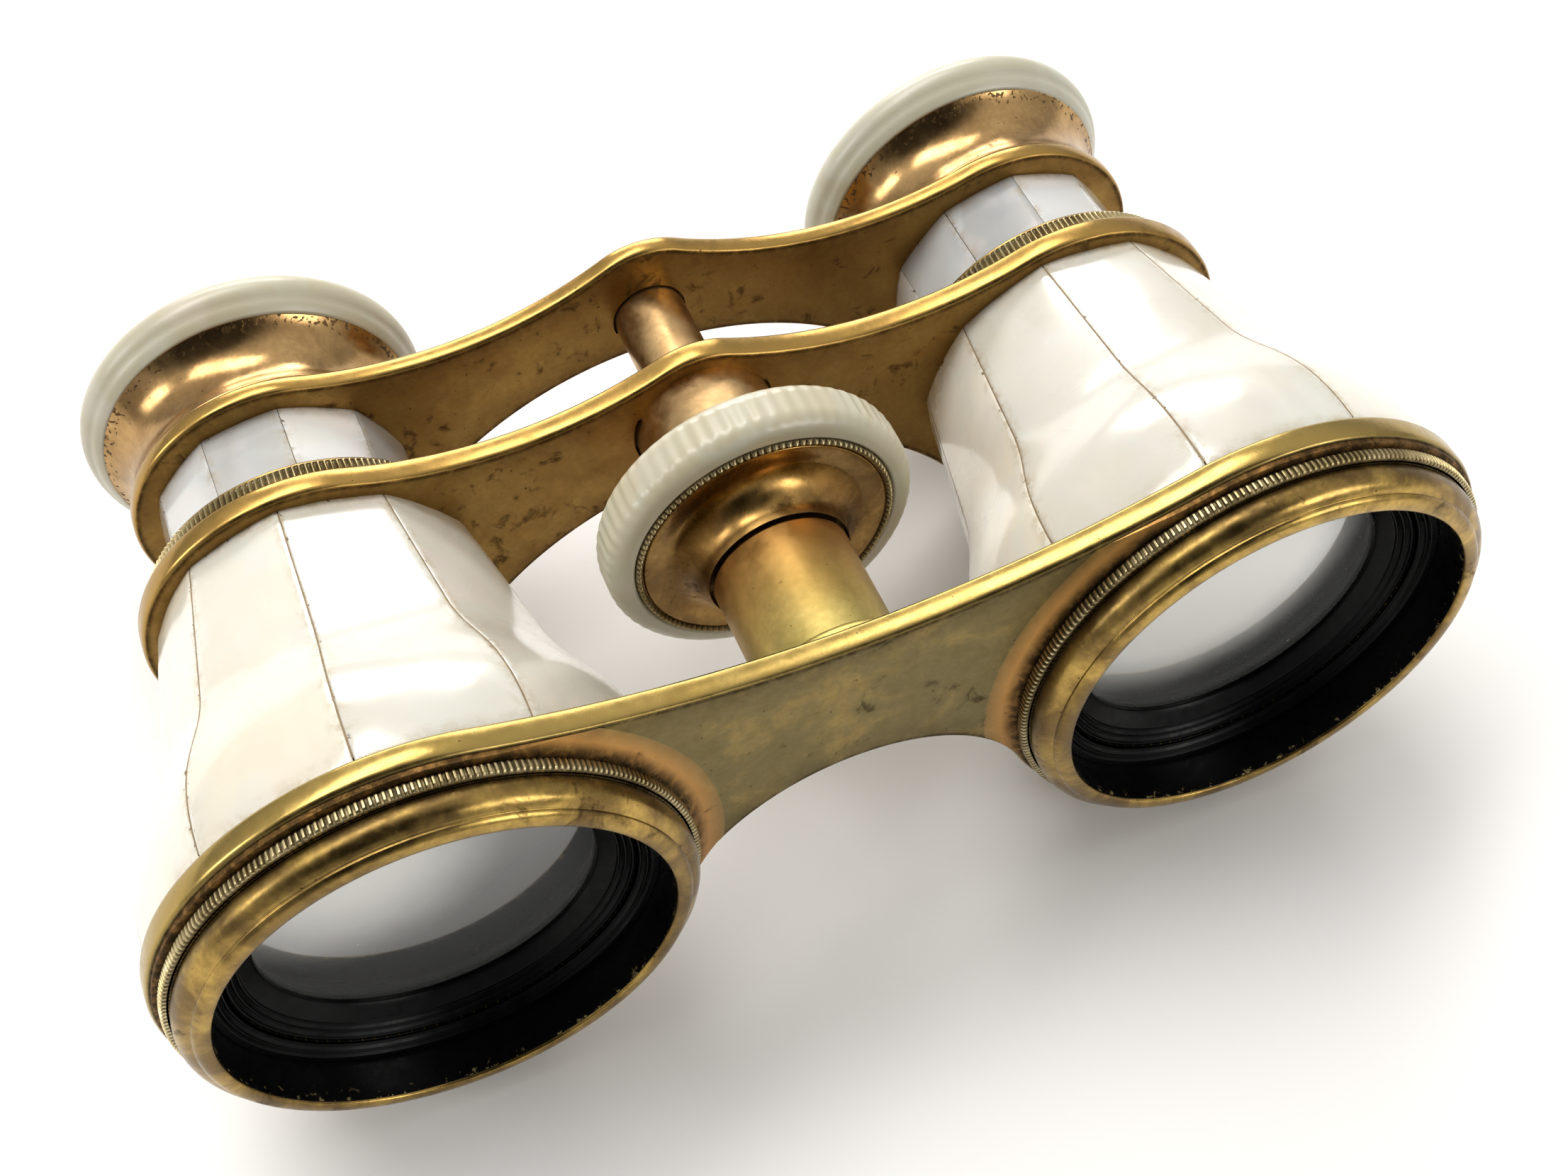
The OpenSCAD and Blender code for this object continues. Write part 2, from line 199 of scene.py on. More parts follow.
def turned(build, centre, outline, count=192, shape=None, kind=0, closed=True, **marks):
    """Turns an outline of (radius, y) about the axis through centre. shape may change the radii
    and ys, and kind may be a function of radius and y that names a face's material."""
    outline = np.asarray([p[:2] for p in outline], float)
    angle = np.linspace(0, 2 * math.pi, count, endpoint=False)
    radius = np.repeat(outline[:, :1], count, 1)
    y = np.repeat(outline[:, 1:], count, 1)
    if shape:
        # shape's third value is painted shade, darkest in the valleys and gaps it cuts.
        radius, y, groove = shape(radius, y, angle)
        marks["foul"] = np.broadcast_to(np.clip(groove, 0, 1), radius.shape).ravel()
    points = np.stack([centre[0] + radius * np.cos(angle), y, centre[1] + radius * np.sin(angle)], 2)
    faces = grid_faces(len(outline), count, closed)
    if callable(kind):
        after = np.roll(outline, -1, 0)
        kinds = [kind(*m) for m in (outline + after) / 2][:len(faces) // count]
        kind = np.repeat(kinds, count)
    build.add(points, faces, kind if isinstance(kind, int) else [int(k) for k in kind], **marks)


def waves(seed, position, length, octaves=3):
    """Smooth seeded ripple of about unit height along position, with that wavelength."""
    rng = np.random.default_rng(seed)
    total = np.zeros_like(np.asarray(position, float))
    for k in range(octaves):
        total += np.sin(position * 2 * math.pi * (k + 1) / length + rng.uniform(0, 6.28)) / (k + 1)
    return total / 1.6


# ---------------------------------------------------------------- material building


class Shader:
    """A procedural material on one Principled shader. Coordinates are the frame's, in mm."""

    def __init__(self, name, **fixed):
        self.material = bpy.data.materials.new(name)
        self.material.use_nodes = True
        self.tree = self.material.node_tree
        self.surface = self.tree.nodes["Principled BSDF"]
        for socket, value in fixed.items():
            self.surface.inputs[socket.replace("_", " ")].default_value = value
        coordinates = self.tree.nodes.new("ShaderNodeTexCoord").outputs["Object"]
        self.place = self.vector("SCALE", coordinates, 1 / MM)

    def node(self, kind, settings=None, **inputs):
        made = self.tree.nodes.new("ShaderNode" + kind)
        for name, value in (settings or {}).items():
            setattr(made, name, value)
        for name, value in inputs.items():
            self.join(value, made.inputs[name.replace("_", " ")])
        return made

    def join(self, value, socket):
        if isinstance(value, bpy.types.NodeSocket):
            self.tree.links.new(value, socket)
        else:
            socket.default_value = value

    def vector(self, operation, a, scale):
        made = self.tree.nodes.new("ShaderNodeVectorMath")
        made.operation = operation
        self.join(a, made.inputs[0])
        if operation == "SCALE":
            self.join(scale, made.inputs["Scale"])
        else:
            self.join(scale, made.inputs[1])
        return made.outputs[0]

    def noise(self, size, detail=4.0, roughness=0.55, distortion=0.0, place=None):
        """Noise from 0 to 1 whose features are about size mm across."""
        made = self.node("TexNoise", Scale=1 / size, Detail=detail, Roughness=roughness,
                         Distortion=distortion, Vector=place or self.place)
        return made.outputs["Fac"]

    def math(self, operation, a, b=0.0):
        made = self.tree.nodes.new("ShaderNodeMath")
        made.operation = operation
        self.join(a, made.inputs[0])
        self.join(b, made.inputs[1])
        return made.outputs[0]

    def between(self, value, start, end, a=0.0, b=1.0):
        """value from start to end becomes a to b, smoothly and held at the ends."""
        made = self.node("MapRange", {"interpolation_type": "SMOOTHSTEP"}, Value=value)
        for name, number in (("From Min", start), ("From Max", end), ("To Min", a), ("To Max", b)):
            made.inputs[name].default_value = number
        return made.outputs["Result"]

    def mix(self, share, a, b):
        made = self.node("Mix", {"data_type": "RGBA"})
        self.join(share, made.inputs[0])
        for socket, value in ((made.inputs[6], a), (made.inputs[7], b)):
            self.join(value if isinstance(value, bpy.types.NodeSocket) else (*value, 1.0), socket)
        return made.outputs[2]

    def mark(self, name):
        return self.node("Attribute", {"attribute_name": name}).outputs["Fac"]

    def bump(self, height, distance, strength=1.0, under=None):
        """Bump of a height map from 0 to 1 that stands for distance mm."""
        made = self.node("Bump", Height=height, Strength=strength, Distance=distance * MM)
        if under is not None:
            self.join(under, made.inputs["Normal"])
        return made.outputs["Normal"]

    def set(self, **inputs):
        for name, value in inputs.items():
            self.join(value, self.surface.inputs[name.replace("_", " ")])
        return self.material


def worn_metal(name, bright, body, stain_and_shade, share=0.5, rough=(0.2, 0.42), grime=0.5):
    """Old lacquered metal: two tones in soft clouds, stains and specks. A piece may mark where it is rubbed
    bright (worn), where painted shade darkens it in hollows, gaps and valleys (foul), where it turns orange
    (tint), as a painted orange reflection on the front bridge's bosses and as a band at the post's end, or
    where it is pitted (pit)."""
    s = Shader(name, Metallic=1.0)
    worn, foul = s.mark("worn"), s.mark("foul")
    clouds = s.noise(4.5, 5, 0.6, 0.6)
    tone = s.mix(s.between(clouds, share - 0.16, share + 0.2), bright, body)
    mottle = s.between(s.noise(0.5, 6, 0.65), 0.35, 0.65, 0.0, 0.25)
    tone = s.mix(mottle, tone, [c * 0.6 for c in body])
    tone = s.mix(worn, tone, bright)
    # Orange: a painted orange reflection where the front bridge's bosses slope to the plate, and an orange
    # band at the post's end.
    orange = (0.50, 0.25, 0.07)
    tone = s.mix(s.mark("tint"), tone, orange)
    drift = s.between(s.noise(8.0, 2), 0.38, 0.62, -0.06, 0.05)
    blotch = s.math("ADD", s.noise(2.4, 7, 0.66, 0.5), drift)
    dark = s.between(blotch, 0.66 - 0.12 * grime, 0.8 - 0.12 * grime, 0.0, 0.75)
    dark = s.math("MULTIPLY", dark, s.between(worn, 0.2, 1.0, 1.0, 0.3))
    spots = s.math("ADD", s.noise(0.4, 2, 0.5), s.math("MULTIPLY", s.mark("pit"), 0.16))
    dark = s.math("MAXIMUM", dark, s.between(spots, 0.735, 0.77, 0.0, 0.85))
    # Painted shade in hollows, gaps and valleys where a piece marks it, broken up by noise.
    hollow_shade = s.math("MULTIPLY", foul, s.between(s.noise(1.1, 6, 0.7, 0.4), 0.3, 0.6, 0.45, 1.0))
    dark = s.math("MAXIMUM", dark, hollow_shade)
    # Stains and painted shade both darken towards one dark colour.
    colour = s.mix(dark, tone, stain_and_shade)
    smear = s.between(s.noise(1.6, 6, 0.6, 0.3), 0.3, 0.7, *rough)
    roughness = s.math("ADD", smear, s.math("MULTIPLY", dark, 0.3))
    roughness = s.math("MULTIPLY", roughness, s.between(worn, 0.0, 1.0, 1.0, 0.62))
    grain = s.math("ADD", s.math("MULTIPLY", s.noise(0.14, 3), 0.3), s.math("MULTIPLY", dark, -0.6))
    soft = s.bump(s.noise(2.6, 3, 0.5), 0.035)
    return s.set(Base_Color=colour, Roughness=roughness, Normal=s.bump(grain, 0.01, 0.7, soft))


def pearl(name, light, warm, cool, glossy=0.2, depth=0.5, coat=(0.9, 0.12)):
    """Mother-of-pearl: milky depth, drifting warm and cool tints, growth layers and dirty edges.
    A leaf's mark tone is its own shade and moves the noise, so no two leaves match. depth is how
    much tone darkens, and coat is the polish's weight and roughness."""
    s = Shader(name, Subsurface_Weight=0.12, Subsurface_Scale=0.001, Coat_Weight=coat[0],
               Coat_Roughness=coat[1], Coat_IOR=1.5, IOR=1.55)
    s.surface.inputs["Subsurface Radius"].default_value = (1.0, 0.85, 0.65)
    tone = s.mark("tone")
    apart = [s.math("MULTIPLY", tone, n) for n in (41.0, 17.0, 29.0)]
    shift = s.node("CombineXYZ", X=apart[0], Y=apart[1], Z=apart[2]).outputs[0]
    place = s.vector("ADD", s.place, shift)
    broad, drift = s.noise(11.0, 2, 0.45, 0.8, place), s.noise(7.5, 3, 0.5, 1.0, place)
    colour = s.mix(s.between(broad, 0.32, 0.68), light, warm)
    colour = s.mix(s.between(drift, 0.46, 0.72, 0.0, 0.7), colour, cool)
    shade = [c * (1 - depth) for c in cool]
    colour = s.mix(s.between(tone, 0.1, 1.0, 0.0, 0.9), colour, s.mix(0.25, shade, colour))
    sheets = s.noise(5.0, 3, 0.45, 0.8, s.vector("MULTIPLY", place, (1.0, 0.4, 1.0)))
    colour = s.mix(s.between(sheets, 0.4, 0.7, 0.0, 0.1), colour, [min(c * 1.22, 0.9) for c in light])
    gleams = ((6.0, 1.0, 0.2, (0.74, 0.62, 0.60)),      # rose
              (6.5, 1.2, 0.18, (0.60, 0.70, 0.66)))     # green
    for size, swirl, share, gleam in gleams:
        veil = s.between(s.noise(size, 2, 0.45, swirl, place), 0.5, 0.72, 0.0, share)
        colour = s.mix(veil, colour, gleam)
    near = s.mark("edge")
    dirt = s.math("MULTIPLY", near, s.between(s.noise(1.1, 5, 0.7, 0.4, place), 0.42, 0.66))
    colour = s.mix(s.math("MULTIPLY", dirt, 0.6), colour, (0.36, 0.25, 0.11))
    chips = s.math("MULTIPLY", s.between(near, 0.6, 0.95), s.between(s.noise(0.55, 3, 0.6), 0.63, 0.67))
    colour = s.mix(chips, colour, (0.12, 0.06, 0.02))
    roughness = s.between(s.noise(5.0, 2, 0.45, 0.6, place), 0.3, 0.7, glossy, glossy + 0.1)
    ripple = s.bump(s.noise(7.0, 1, 0.4, 0.3, place), 0.12)
    return s.set(Base_Color=colour, Roughness=roughness, Normal=ripple)


def black_lacquer(name):
    """Black lacquer, worn through to brass in flakes at the front lip."""
    s = Shader(name, IOR=1.45, Specular_IOR_Level=0.14)
    rim = s.mark("rim")
    flakes = s.between(s.math("ADD", s.noise(0.75, 5, 0.72, 0.4), s.math("MULTIPLY", rim, 0.3)), 0.8, 0.83)
    flakes = s.math("MULTIPLY", flakes, s.between(rim, 0.5, 0.9))
    haze = s.between(s.noise(2.2, 5, 0.6, 0.5), 0.45, 0.8, 0.0, 0.5)
    colour = s.mix(haze, (0.0015, 0.0015, 0.0016), (0.006, 0.006, 0.007))
    colour = s.mix(flakes, colour, (0.85, 0.66, 0.30))
    roughness = s.between(s.noise(1.2, 5, 0.6), 0.3, 0.7, 0.24, 0.42)
    return s.set(Base_Color=colour, Metallic=flakes, Roughness=roughness,
                 Normal=s.bump(s.noise(0.9, 2, 0.5), 0.004, 0.4))


def lens_glass(name, dark, bright, centre, reach):
    """Old glass with a painted reflection: a bright bloom in its colour, brightest about a centre in mm and
    fading to dark, and a few specks of dust."""
    s = Shader(name, IOR=1.75, Coat_Weight=1.0, Coat_IOR=1.6, Coat_Roughness=0.02)
    away = s.node("VectorMath", {"operation": "DISTANCE"})
    s.join(s.place, away.inputs[0])
    away.inputs[1].default_value = centre
    ragged = s.math("ADD", away.outputs["Value"], s.math("MULTIPLY", s.noise(5.0, 3), 1.6))
    # Painted reflection: the bright colour near the centre, ragged with noise, gives way to the dark one
    # further out.
    colour = s.mix(s.between(ragged, *reach), bright, dark)
    cells = s.node("TexVoronoi", Vector=s.place, Scale=0.4).outputs
    size = s.math("MULTIPLY", s.node("SeparateColor", Color=cells["Color"]).outputs[0], 0.05)
    dust = s.math("LESS_THAN", cells["Distance"], size)
    colour = s.mix(dust, colour, (0.55, 0.55, 0.52))
    smear = s.between(s.noise(3.0, 5, 0.6), 0.3, 0.7, 0.04, 0.12)
    return s.set(Base_Color=colour, Roughness=s.math("ADD", smear, s.math("MULTIPLY", dust, 0.4)))


def glue(name):
    """Brown cement in the seams between staves."""
    s = Shader(name)
    colour = s.mix(s.noise(0.6, 5, 0.7), (0.10, 0.06, 0.025), (0.36, 0.27, 0.15))
    return s.set(Base_Color=colour, Roughness=s.between(s.noise(0.4), 0.3, 0.7, 0.6, 0.9),
                 Normal=s.bump(s.noise(0.2, 4), 0.02))


OLIVE = worn_metal("olive_brass", (0.38, 0.265, 0.08), (0.20, 0.155, 0.06), (0.05, 0.032, 0.014),
                   0.36, (0.3, 0.46), 0.5)
BROWN = worn_metal("brown_brass", (0.40, 0.245, 0.068), (0.33, 0.185, 0.048), (0.07, 0.038, 0.012),
                   0.46, (0.34, 0.5), 0.95)
YELLOW = worn_metal("yellow_brass", (0.58, 0.47, 0.155), (0.46, 0.36, 0.10), (0.09, 0.055, 0.02),
                    0.52, (0.3, 0.42), 0.15)
BRONZE = worn_metal("bezel_brass", (0.56, 0.37, 0.10), (0.19, 0.12, 0.042), (0.045, 0.026, 0.010),
                    0.45, (0.2, 0.34), 0.7)
HUB = worn_metal("hub_lacquer", (0.44, 0.26, 0.08), (0.20, 0.11, 0.034), (0.05, 0.026, 0.009),
                 0.46, (0.2, 0.34), 0.6)
COPPER = worn_metal("copper_lacquer", (0.62, 0.42, 0.20), (0.50, 0.30, 0.13), (0.12, 0.06, 0.025),
                    0.5, (0.26, 0.42), 0.1)
MOUNT = worn_metal("mount_lacquer", (0.52, 0.33, 0.14), (0.34, 0.20, 0.08), (0.06, 0.035, 0.015),
                   0.5, (0.17, 0.24), 0.25)
MILLED = worn_metal("milled_brass", (0.62, 0.52, 0.30), (0.36, 0.28, 0.13), (0.05, 0.035, 0.016),
                    0.5, (0.24, 0.42), 0.3)
SHELL = pearl("barrel_pearl", (0.79, 0.745, 0.635), (0.76, 0.68, 0.53), (0.70, 0.68, 0.61), 0.2, 0.3)
BRIGHT_SHELL = pearl("draw_pearl", (0.76, 0.76, 0.75), (0.70, 0.67, 0.60), (0.58, 0.60, 0.62), 0.12, 0.7)
GREEN_SHELL = pearl("green_pearl", (0.50, 0.465, 0.34), (0.46, 0.40, 0.265), (0.48, 0.475, 0.37), 0.3, 0.1,
                    (0.35, 0.3))
LACQUER = black_lacquer("black_lacquer")
REFLECTION_FADE = {"left": (3.5, 14.0), "right": (11.0, 18.0)}     # over which distances in mm the painted reflection fades
# The bright colour, centred up and to the left of each lens, is a painted reflection.
OBJECTIVE = {side: lens_glass(f"objective_glass_{side}", (0.085, 0.086, 0.083), (0.76, 0.76, 0.72),
                              (axis_of(side)[0] - 5, DATUM, 9.0), REFLECTION_FADE[side]) for side in SIDES}
OCULAR = lens_glass("ocular_glass", (0.015, 0.016, 0.017), (0.03, 0.03, 0.03), (0.0, 0.0, 0.0), (30, 60))
GLUE = glue("stave_cement")

# ---------------------------------------------------------------- bridges


def touch(c1, r1, c2, r2, r, side):
    """Centre of the circle of radius r that touches two circles from outside."""
    c1 = np.array(c1, float)
    v = np.array(c2, float) - c1
    d = np.linalg.norm(v)
    u = v / d
    x = (d * d + (r + r1) ** 2 - (r + r2) ** 2) / (2 * d)
    return c1 + x * u + side * math.sqrt((r + r1) ** 2 - x * x) * np.array([-u[1], u[0]])


def sweep_radius(r, h, up):
    """Radius of the arc that touches both discs and crosses the middle plane at height h."""
    return (AXIS ** 2 + h * h - r * r) / (2 * (r - up * h))


class Outline:
    """A bridge's outline as a chain of touching arcs, which can be inset without losing its form."""

    def __init__(self, disc_r, low_h, top_h=None, boss_r=6.7, fillet=32):
        right, left = (AXIS, 0.0), (-AXIS, 0.0)
        under_r = sweep_radius(disc_r, low_h, -1)
        under = (0.0, low_h - under_r)
        if top_h is None:
            over_l = touch(FOCUS, boss_r, left, disc_r, fillet, -1)
            over_r = touch(FOCUS, boss_r, right, disc_r, fillet, 1)
            top = [(over_r, fillet, 1), (FOCUS, boss_r, -1), (over_l, fillet, 1)]
        else:
            sweep = sweep_radius(disc_r, top_h, 1)
            top = [((0.0, top_h + sweep), sweep, 1)]
        chain = [(right, disc_r, -1), *top, (left, disc_r, -1), (under, under_r, 1)]
        self.arcs = []
        for i, (centre, radius, way) in enumerate(chain):
            before = self.heading(centre, chain[i - 1][0])
            after = self.heading(centre, chain[(i + 1) % len(chain)][0])
            if way == -1:
                after += 2 * math.pi if after < before else 0.0
            else:
                after -= 2 * math.pi if after > before else 0.0
            steps = max(6, int(abs(after - before) * radius / 0.55))
            self.arcs.append((centre, radius, way, np.linspace(before, after, steps, endpoint=False)))

    @staticmethod
    def heading(a, b):
        return math.atan2(b[1] - a[1], b[0] - a[0])

    def loop(self, inset):
        """Points (x, z) of the outline drawn in by inset, always as many."""
        made = []
        for centre, radius, way, angles in self.arcs:
            size = radius + way * inset
            made.append(np.stack([centre[0] + size * np.cos(angles), centre[1] + size * np.sin(angles)], 1))
        return np.vstack(made)

    def reach(self, side, inset, angles, limit):
        """How far the plate runs from a barrel's axis at those angles before its edge, up to limit."""
        around = self.loop(inset) - np.array(axis_of(side))
        bearing = np.arctan2(around[:, 1], around[:, 0])
        size = np.linalg.norm(around, axis=1)
        found = np.full(len(angles), limit)
        for i in range(len(around)):
            step = (bearing[i] - bearing[i - 1] + math.pi) % (2 * math.pi) - math.pi
            turn = (angles - bearing[i - 1] + math.pi) % (2 * math.pi) - math.pi
            share = turn / (step if abs(step) > 1e-9 else 1)
            hit = (share >= 0) & (share <= 1)
            found = np.where(hit, np.minimum(found, size[i - 1] + (size[i] - size[i - 1]) * share), found)
        return found


def plate(build, outline, front, back, holes):
    """A bridge plate with rounded edges, painted shade just inside them, and round holes given as
    (centre, front radius, rear radius, y of the step) with painted shade down their walls. Its section is
    (inset, y, worn, foul)."""
    section = [
        (1.30, back, 0, 0), (0.50, back, 0.2, 0), (0.24, back - 0.05, 0.8, 0), (0.08, back - 0.17, 1, 0),
        (0.01, back - 0.36, 1, 0), (0.0, (front + back) / 2, 1, 0), (0.01, front + 0.40, 1, 0),
        (0.06, front + 0.22, 1, 0), (0.15, front + 0.09, 0.7, 0.1), (0.25, front + 0.02, 0.2, 0.8),
        (0.33, front, 0, 1), (0.45, front, 0, 0.75), (0.65, front, 0, 0.35), (1.6, front, 0, 0.18),
        (2.8, front, 0, 0),
    ]
    loops = [outline.loop(d) for d, *_ in section]
    count = len(loops[0])
    points = np.vstack([np.column_stack([p[:, 0], np.full(count, row[1]), p[:, 1]])
                        for p, row in zip(loops, section)])
    build.add(points, grid_faces(len(section), count), worn=np.repeat([row[2] for row in section], count),
              foul=np.repeat([row[3] for row in section], count))
    around = 128
    turn = np.linspace(0, 2 * math.pi, around, endpoint=False)
    for which, y in ((-1, front), (0, back)):
        rings = [np.array(c) + (r0 if which else r1) * np.stack([np.cos(turn), np.sin(turn)], 1)
                 for c, r0, r1, _ in holes]
        flat = np.vstack([loops[which], *rings])
        edges, start = [], 0
        for ring in (loops[which], *rings):
            edges += [(start + i, start + (i + 1) % len(ring)) for i in range(len(ring))]
            start += len(ring)
        spots, _, faces, *_ = delaunay_2d_cdt([Vector(p) for p in flat], edges, [], 1, 1e-6)
        spots = np.array(spots)
        centres = np.array([spots[list(f)].mean(0) for f in faces])
        inside = np.ones(len(faces), bool)
        for c, r0, r1, _ in holes:
            inside &= np.linalg.norm(centres - np.array(c), axis=1) > (r0 if which else r1) - 0.01
        faces = [tuple(f) for f, kept in zip(faces, inside) if kept]
        build.add(np.column_stack([spots[:, 0], np.full(len(spots), y), spots[:, 1]]), faces)
    for centre, r0, r1, step in holes:
        wall = [(r0, front), (r0, front + 0.05), (r0, step), (r1, step), (r1, back)]
        # Painted shade down the walls of the holes.
        turned(build, centre, wall, around, closed=False, foul=np.repeat([0, 1, 1, 0, 0], around))


def front_bridge():
    outline = Outline(FRONT_R, 1.3, 14.6)
    build = Build()
    spigot = 16.45
    plate(build, outline, *PLATE, [(axis_of(s), spigot, spigot, -0.5) for s in SIDES])
    crown, rim, foot = -2.4, 18.75, 21.4    # a rounded boss round each barrel: its y and its radii
    steps = 8
    angles = np.linspace(0, 2 * math.pi, 240, endpoint=False)
    for side in SIDES:
        rows = []
        edge = outline.reach(side, 0.34, angles, foot)
        for k in range(steps + 1):
            wanted = np.minimum(rim + (foot - rim) * k / steps, edge)
            fall = np.clip((wanted - rim) / (foot - rim), 0, 1)
            y = crown + (PLATE[0] + 0.01 - crown) * (1 - (1 - fall) ** 2.2)
            rows.append(np.column_stack([wanted, y]))
        rows.insert(0, np.tile((spigot, crown), (len(angles), 1)))
        rows.append(rows[-1] * (1, 0) + (0, PLATE[0] + 0.3))
        rows = np.array(rows)
        centre = axis_of(side)
        points = np.stack([centre[0] + rows[..., 0] * np.cos(angles), rows[..., 1],
                           centre[1] + rows[..., 0] * np.sin(angles)], 2)
        # Painted shade where the boss meets the bezel's knurl, and a painted orange reflection on the boss's
        # slope down to the plate.
        foul = np.clip((19.7 - rows[..., 0]) / 0.8, 0, 1).ravel()
        tint = np.clip((foot - rows[..., 0]) / 2.0, 0, 0.8).ravel()
        build.add(points, grid_faces(len(rows), len(angles)), foul=foul, tint=tint)
    return build.piece("front_bridge_plate", [OLIVE], "barrels", ["front_bridge"])


def middle_bridge():
    outline = Outline(MIDDLE_R, 2.0)
    build = Build()
    neck_r = 11.0
    necks = [(axis_of(s), neck_r, neck_r, MIDDLE[0] + 1) for s in SIDES]
    sleeve_hole = (FOCUS, 5.62, 2.92, MIDDLE[0] + 0.4)
    plate(build, outline, *MIDDLE, [*necks, sleeve_hole])
    return build.piece("middle_bridge_plate", [BROWN], "barrels", ["middle_bridge"])


def rear_bridge():
    outline = Outline(REAR_R, 3.7)
    build = Build()
    draw_r = 9.2
    draw_holes = [(axis_of(s), draw_r, draw_r, REAR[0] + 1) for s in SIDES]
    tube_hole = (FOCUS, TUBE_R + 0.16, 1.6, REAR[0] + 0.3)
    plate(build, outline, *REAR, [*draw_holes, tube_hole])
    return build.piece("rear_bridge_plate", [BROWN], "eyepieces", ["rear_bridge"])


# ---------------------------------------------------------------- barrels


def bell_line():
    """The bell's outline over the pearl, as (radius, y): shoulder, ogee and straight cone."""
    end = MIDDLE[0]
    shoulder, knee, back_r = 18.5, np.array([14.55, 14.5]), 12.2
    slope = (knee[0] - back_r) / (MIDDLE[0] - knee[1])
    control = [np.array([shoulder, 1.5]), np.array([shoulder - 0.15, 8.5]),
               knee + np.array([4.5 * slope, -4.5]), knee]
    curve = [(shoulder, 0.0), (shoulder, 0.35)]
    bends, straights = 26, 11
    for i in range(bends + 1):
        t = i / bends
        weights = ((1 - t) ** 3, 3 * t * (1 - t) ** 2, 3 * t * t * (1 - t), t ** 3)
        curve.append(tuple(sum(w * c for w, c in zip(weights, control))))
    for i in range(1, straights + 1):
        share = i / straights
        curve.append((knee[0] + (back_r - knee[0]) * share, knee[1] + (end - 0.3 - knee[1]) * share))
    curve.append((back_r, end))
    return np.array(curve)


def bar_faces(rows, width):
    """Faces of a closed bar of rows rings of width points each: its skin and its two ends."""
    last = (rows - 1) * width
    return [*grid_faces(rows, width), tuple(range(width)), tuple(range(last, last + width))]


def flat_bar(build, centre, line, inner, bearing, half, flat, seed, ripple, ease=0.07):
    """One stave: a bar between two planes through the axis, with a flatter face than the barrel.
    line is (radius, y) of its face, and the face is struck from a centre flat mm behind the axis."""
    rng = np.random.default_rng(seed)
    across = np.array([-1, -0.992, -0.975, -0.93, -0.8, -0.6, -0.4, -0.2, 0, 0.2, 0.4, 0.6, 0.8,
                       0.93, 0.975, 0.992, 1]) * half
    tone = rng.uniform(0, 1)
    rows, edges = [], []
    last = len(line) - 1
    for j, (r, y) in enumerate(line):
        a = np.radians(across)
        big = r + flat
        outer = -flat * np.cos(a) + np.sqrt(big ** 2 - (flat * np.sin(a)) ** 2)
        side_gap = (half - np.abs(across)) * math.pi / 180 * r
        outer -= ease * np.clip(1 - side_gap / 0.22, 0, 1) ** 2
        outer += ripple * waves(seed, y + across * 0.3, 13.0) * np.clip(side_gap / 2, 0, 1)
        if j in (0, last):
            outer -= ease
        turn = np.radians(across + bearing)
        under = inner[j]                # radius of the bar's inner face
        ring = [(centre[0] + s * math.cos(t), y, centre[1] + s * math.sin(t)) for s, t in zip(outer, turn)]
        ring += [(centre[0] + under * math.cos(t), y, centre[1] + under * math.sin(t))
                 for t in (turn[-1], turn[0])]
        rows.append(ring)
        ends = min(y - line[0][1], line[-1][1] - y)
        near = np.maximum(np.clip(1 - side_gap / 0.8, 0, 1), np.clip(1 - ends / 0.9, 0, 1))
        edges.append([*near, 1, 1])
    build.add(rows, bar_faces(len(rows), len(rows[0])), tone=tone, edge=np.array(edges).ravel())


def staves(side, number):
    line = bell_line()
    bearing = SEAM[side] + (number - 0.5) * TURN
    build = Build()
    flat_bar(build, axis_of(side), line, line[:, 0] - PEARL, bearing, TURN / 2 - 0.17, FACE,
             SIDES.index(side) * 100 + number, 0.045)
    node = f"stave_{side}_{number}"
    return build.piece(node + "_pearl", [SHELL], "barrels", [node], LEAF_SHARP)


def seam_cement(side):
    """Thin brown strips of cement that show in the seams between the staves."""
    line = bell_line()[1:-1]
    build = Build()
    centre = axis_of(side)
    rng = np.random.default_rng(7 + SIDES.index(side))
    ridge = line[:, 0] + FACE
    half = math.radians(TURN / 2)
    crest = -FACE * math.cos(half) + np.sqrt(ridge ** 2 - (FACE * math.sin(half)) ** 2)
    section = ((-0.30, -1), (-0.085, -1), (-0.055, 0), (-0.085, 1), (-0.30, 1))     # rise, way
    for k in range(STAVES):
        bearing = math.radians(SEAM[side] + k * TURN)
        rows = []
        for r, y in zip(crest, line[:, 1]):
            width = 0.16 + 0.05 * rng.uniform(-1, 1)
            for rise, way in section:
                t = bearing + way * width / r
                rows.append((centre[0] + (r + rise) * math.cos(t), y, centre[1] + (r + rise) * math.sin(t)))
        build.add(rows, bar_faces(len(line), len(section)))
    return build.piece(f"seam_cement_{side}", [GLUE], "barrels", [])


def teeth(count, depth, top, lean=0.0):
    """Shape function for turned(): cuts that many teeth into whatever lies near radius top, and paints shade
    into their valleys.
    """
    def shape(radius, y, angle):
        phase = angle * count + lean * y
        tooth = np.clip(0.5 + 0.9 * np.cos(phase), 0, 1)
        near = np.clip((radius - (top - 0.3)) / 0.3, 0, 1)
        return radius - depth * near * (1 - tooth), y, 0.9 * (1 - tooth) ** 1.5
    return shape


